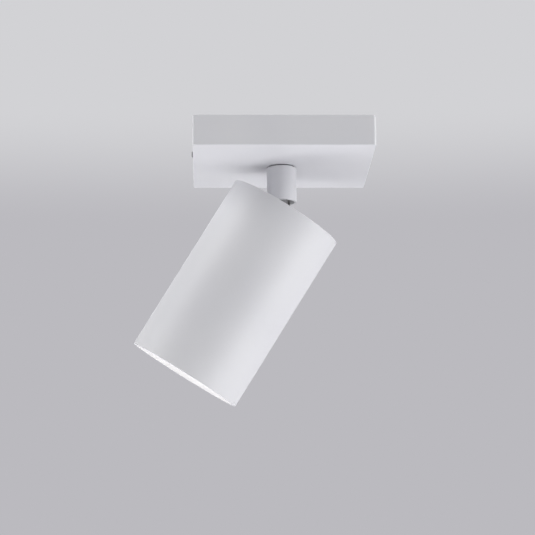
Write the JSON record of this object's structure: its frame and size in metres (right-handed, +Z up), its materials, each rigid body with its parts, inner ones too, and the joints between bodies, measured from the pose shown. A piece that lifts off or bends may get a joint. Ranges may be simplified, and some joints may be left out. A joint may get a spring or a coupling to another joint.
{
  "type": "surface mounted ceiling spotlight",
  "caption": "Surface mounted ceiling spotlight: a square canopy, a short round stem and a cylinder head that pans and tilts, with a recessed twist-lock lamp.",
  "frame": {"origin": "centre of the canopy on the ceiling plane, where the bracket's upper face rests", "axes": "+Z up into the ceiling, +X to the right and +Y to the rear as pictured; the canopy's sides are square with X and Y and the head hangs below, turned and tilted towards -X"},
  "size_m": [0.1203, 0.09, 0.1367],
  "materials": {
    "white_powder_coat": "fine satin powder coat",
    "zinc_steel": "bright zinc plate",
    "black_steel": "black oxide",
    "spring_steel": "plain rolled spring steel",
    "brass": "plain turned brass",
    "tinned_copper": "tin plate",
    "bronze_leaf": "plain sheet bronze",
    "black_nylon": "plain moulded nylon",
    "natural_nylon": "plain moulded nylon",
    "pale_plastic": "plain moulded plastic",
    "white_ceramic": "glazed ceramic",
    "brown_lead": "plain extruded insulation",
    "blue_lead": "plain extruded insulation",
    "green_lead": "green and yellow extruded insulation",
    "woven_sleeve": "varnished glass-fibre braid",
    "white_glare_ring": "satin moulded plastic",
    "lamp_plastic": "smooth moulded plastic",
    "nickel_pins": "nickel plate",
    "circuit_board": "solder-masked laminate",
    "board_aluminium": "white-masked aluminium",
    "light_source": "phosphor gel",
    "bright_reflector": "vacuum-metallised plastic",
    "frosted_lens": "frosted"
  },
  "bodies": {
    "base": {"canopy_cover": "white_powder_coat", "ceiling_bracket": "zinc_steel", "cover_set_screws": "black_steel", "terminal_block": "pale_plastic", "terminal_clamps": "brass", "terminal_screws": "zinc_steel", "terminal_block_screw": "zinc_steel", "bracket_earth_screw": "brass", "bracket_earth_tag": "tinned_copper", "canopy_live_lead": "brown_lead", "canopy_neutral_lead": "blue_lead", "canopy_earth_lead": "green_lead", "bracket_bond_lead": "green_lead"},
    "stem": {"gap_washer": "black_nylon", "stem_tube": "white_powder_coat", "threaded_nipple": "zinc_steel", "pan_spring_washer": "spring_steel", "pan_stop_washer": "zinc_steel", "nipple_nut": "zinc_steel", "swivel_fork": "zinc_steel", "lead_sleeve": "woven_sleeve", "live_lead": "brown_lead", "neutral_lead": "blue_lead", "earth_lead": "green_lead"},
    "head": {"head_tube": "white_powder_coat", "rear_cap": "white_powder_coat", "tilt_yoke": "zinc_steel", "swivel_ears": "zinc_steel", "ear_rivets": "zinc_steel", "tilt_screws": "zinc_steel", "tilt_friction_washers": "natural_nylon", "tilt_spring_washers": "spring_steel", "yoke_screws": "zinc_steel", "lampholder_base": "white_ceramic", "lampholder_faceplate": "white_ceramic", "lampholder_contacts": "bronze_leaf", "lampholder_screws": "zinc_steel", "head_earth_screw": "brass", "head_earth_tag": "tinned_copper", "anti_glare_ring": "white_glare_ring"},
    "lamp": {"lamp_shell": "lamp_plastic", "lamp_pins": "nickel_pins", "lamp_driver_board": "circuit_board", "lamp_led_board": "board_aluminium", "lamp_led_chip": "light_source", "lamp_reflector": "bright_reflector", "lamp_lens": "frosted_lens"}
  },
  "joints": [
    {"name": "stem_pan", "type": "hinge", "parent": "base", "child": "stem", "pos_m": [0, 0, -0.0152], "axis": [0, 0, 1], "range_deg": [-161.56, 178.44]},
    {"name": "head_tilt", "type": "hinge", "parent": "stem", "child": "head", "pos_m": [0, 0, -0.042], "axis": [0.1468, 0.9892, 0], "range_deg": [-52.4, 17.6], "deforming": ["lead_sleeve", "live_lead", "neutral_lead", "earth_lead"]},
    {"name": "lamp_twist", "type": "hinge", "parent": "head", "child": "lamp", "pos_m": [0, 0, -0.042], "axis": [-0.53, 0.0786, -0.8443], "range_deg": [0, 40]}
  ]
}
